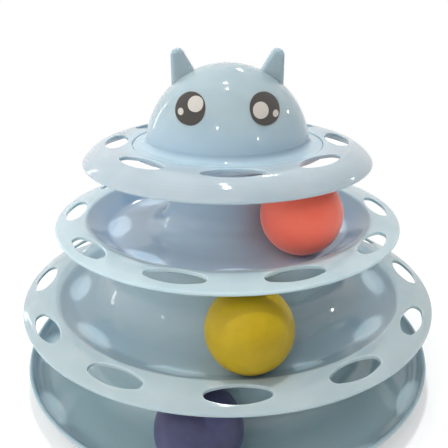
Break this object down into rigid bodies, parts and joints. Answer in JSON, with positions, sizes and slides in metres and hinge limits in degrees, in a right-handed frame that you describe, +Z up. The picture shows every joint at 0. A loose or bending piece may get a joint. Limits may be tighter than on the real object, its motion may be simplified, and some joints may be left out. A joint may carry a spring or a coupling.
{
  "type": "cat ball track toy",
  "caption": "Ball track tower for cats: translucent trays plug together under a cover with a cat-head dome, and a loose ball rolls round the track of each tier.",
  "frame": {"origin": "on the ground at the tower's axis, in the plane of the grip pads' undersides", "axes": "+Z up along the tower's axis, the cat face looks to -Y, +X is to the right of someone who looks at the face"},
  "size_m": [0.2432, 0.2435, 0.1868],
  "materials": {
    "base_plastic": "glossy translucent polypropylene",
    "tier_plastic": "glossy translucent polypropylene",
    "head_plastic": "glossy translucent polypropylene",
    "eye_vinyl": "glossy vinyl sticker",
    "glint_print": "printed ink",
    "purple_plastic": "satin",
    "yellow_plastic": "satin",
    "orange_plastic": "satin",
    "pad_rubber": "matte"
  },
  "bodies": {
    "base": {"base_tray": "base_plastic", "grip_pad_1": "pad_rubber", "grip_pad_2": "pad_rubber", "grip_pad_3": "pad_rubber", "grip_pad_4": "pad_rubber", "grip_pad_5": "pad_rubber", "grip_pad_6": "pad_rubber"},
    "lower": {"lower_tier": "tier_plastic"},
    "middle": {"middle_tier": "tier_plastic"},
    "top": {"top_cover": "tier_plastic", "cat_head": "head_plastic", "left_eye_sticker": "eye_vinyl", "right_eye_sticker": "eye_vinyl", "left_eye_glints": "glint_print", "right_eye_glints": "glint_print"},
    "purple_ball": {"purple_ball": "purple_plastic"},
    "yellow_ball": {"yellow_ball": "yellow_plastic"},
    "orange_ball": {"orange_ball": "orange_plastic"}
  },
  "joints": [
    {"name": "lift_lower_tier", "type": "slide", "parent": "base", "child": "lower", "axis": [0, 0, 1], "range_m": [0, 0.06]},
    {"name": "lift_middle_tier", "type": "slide", "parent": "lower", "child": "middle", "axis": [0, 0, 1], "range_m": [0, 0.06]},
    {"name": "lift_cover", "type": "slide", "parent": "middle", "child": "top", "axis": [0, 0, 1], "range_m": [0, 0.06]},
    {"name": "roll_purple_ball", "type": "hinge", "parent": "base", "child": "purple_ball", "pos_m": [0, 0, 0.025], "axis": [0, 0, 1], "continuous": true},
    {"name": "roll_yellow_ball", "type": "hinge", "parent": "lower", "child": "yellow_ball", "pos_m": [0, 0, 0.069], "axis": [0, 0, 1], "continuous": true},
    {"name": "roll_orange_ball", "type": "hinge", "parent": "middle", "child": "orange_ball", "pos_m": [0, 0, 0.109], "axis": [0, 0, 1], "continuous": true}
  ]
}
